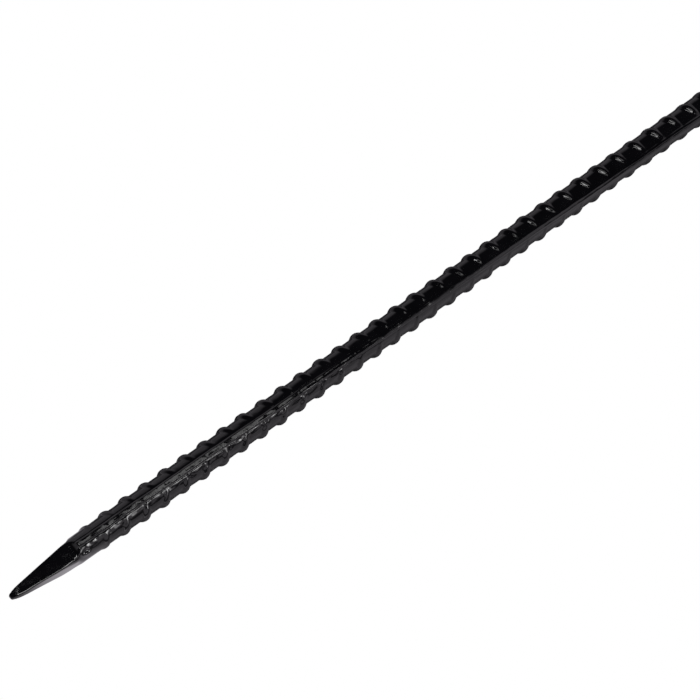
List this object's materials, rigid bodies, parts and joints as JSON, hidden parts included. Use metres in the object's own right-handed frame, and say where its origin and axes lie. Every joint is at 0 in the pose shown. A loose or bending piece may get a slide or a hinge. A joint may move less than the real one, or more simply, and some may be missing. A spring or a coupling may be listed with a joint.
{
  "type": "post anchor spike",
  "caption": "Ribbed steel ground spike with a square forged point and two screw-on post lugs welded beside its struck end, painted gloss black",
  "frame": {"origin": "under the middle of the overall length, on the plane of the post face, which is the face the part lies on", "axes": "+X along the bar from the point to the struck end, +Z away from the post, +Y to the left seen from the point"},
  "size_m": [0.61, 0.07, 0.0141],
  "materials": {
    "bar_paint": "gloss",
    "lug_paint": "gloss",
    "weld_paint": "gloss"
  },
  "bodies": {
    "root": {"spike_bar": "bar_paint", "post_lug_left": "lug_paint", "post_lug_right": "lug_paint", "weld_bead_left": "weld_paint", "weld_bead_right": "weld_paint"}
  },
  "joints": []
}
